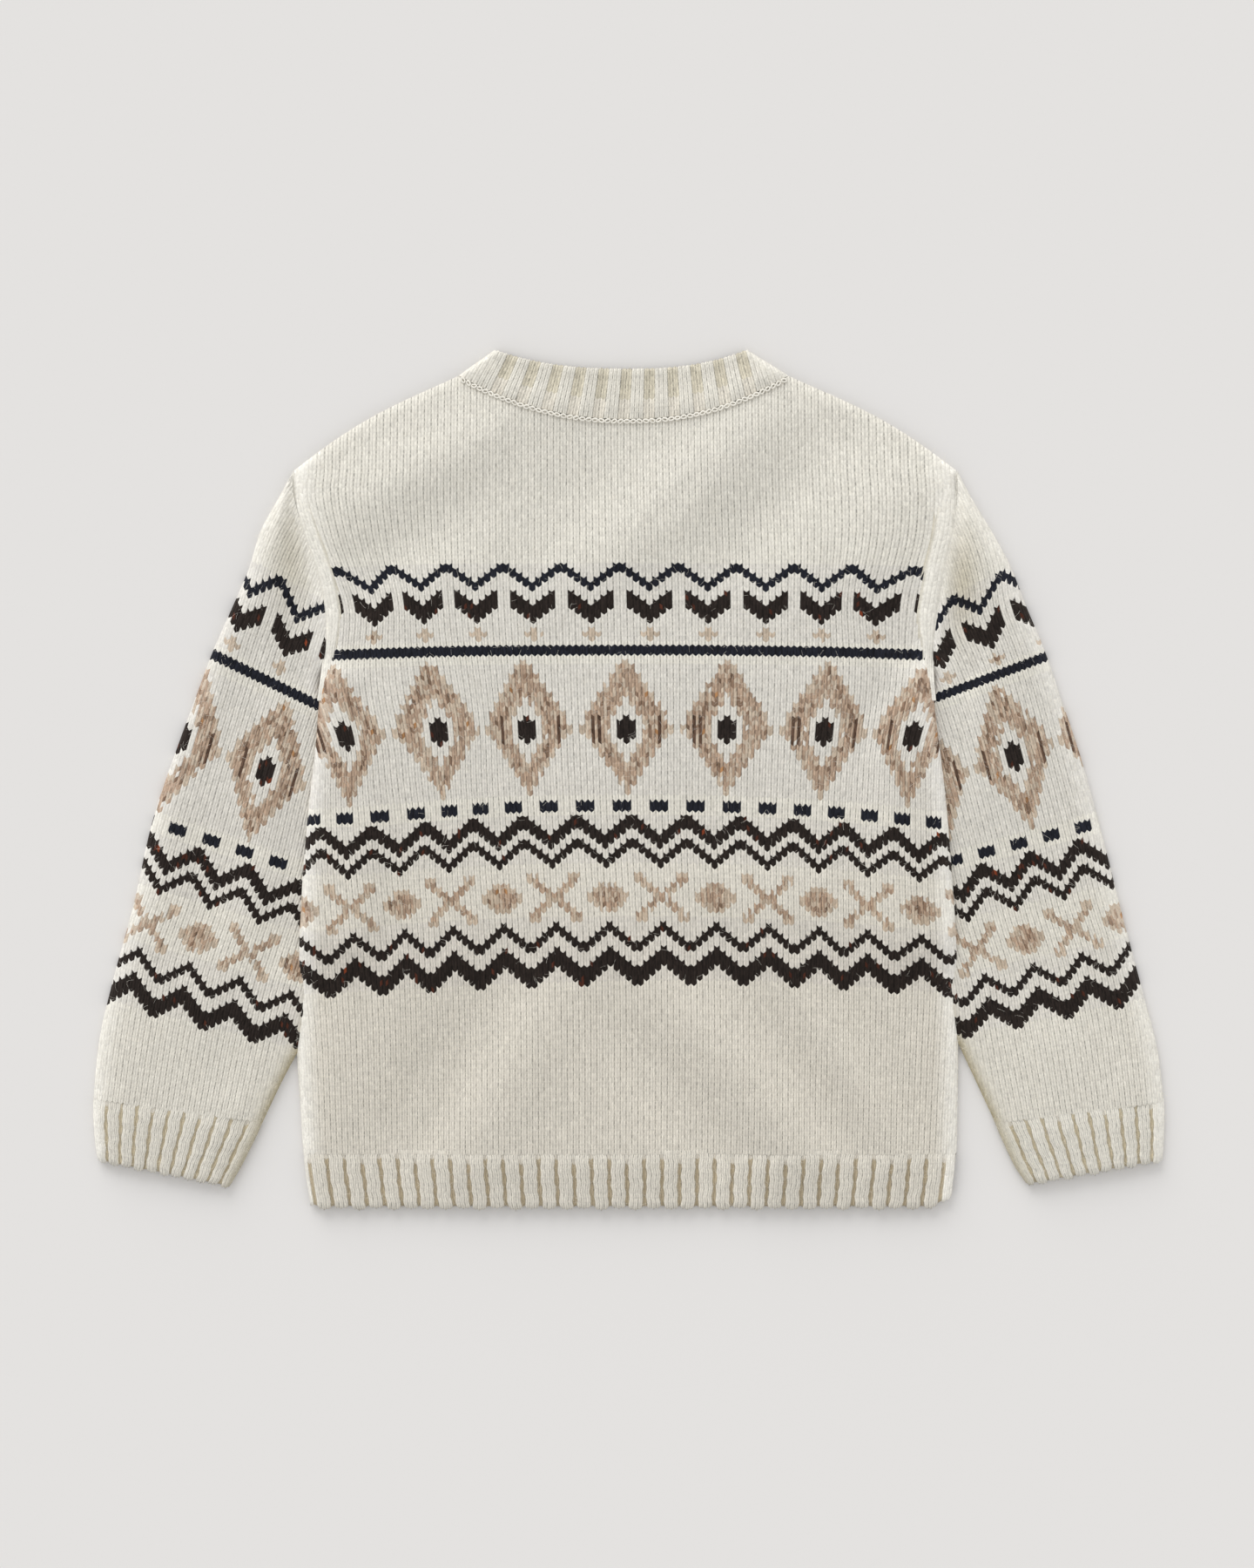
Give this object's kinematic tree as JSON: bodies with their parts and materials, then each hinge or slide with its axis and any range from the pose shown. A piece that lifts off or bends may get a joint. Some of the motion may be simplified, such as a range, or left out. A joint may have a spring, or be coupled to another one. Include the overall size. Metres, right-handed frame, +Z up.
{
  "type": "nordic sweater",
  "caption": "Child's long-sleeved crew-neck pullover in patterned stranded knit, ribbed at neck, cuffs and hem, laid flat on its front with the back showing.",
  "frame": {"origin": "middle of the laid sweater's outline, on the surface it lies on", "axes": "+X across the sweater from the sleeve at the picture's left to the one at its right, +Y from hem to neck, +Z up out of the back"},
  "size_m": [0.602, 0.483, 0.0118],
  "materials": {
    "patterned_knit": "woolly stocking-stitch knit in cream with navy, dark brown and tan stranded bands",
    "cream_rib": "woolly cream ribbed knit"
  },
  "bodies": {
    "root": {"back_panel": "patterned_knit", "front_panel": "patterned_knit", "sleeve_left": "patterned_knit", "sleeve_right": "patterned_knit", "hem_rib_back": "cream_rib", "hem_rib_front": "cream_rib", "cuff_left": "cream_rib", "cuff_right": "cream_rib", "neckband": "cream_rib"}
  },
  "joints": []
}
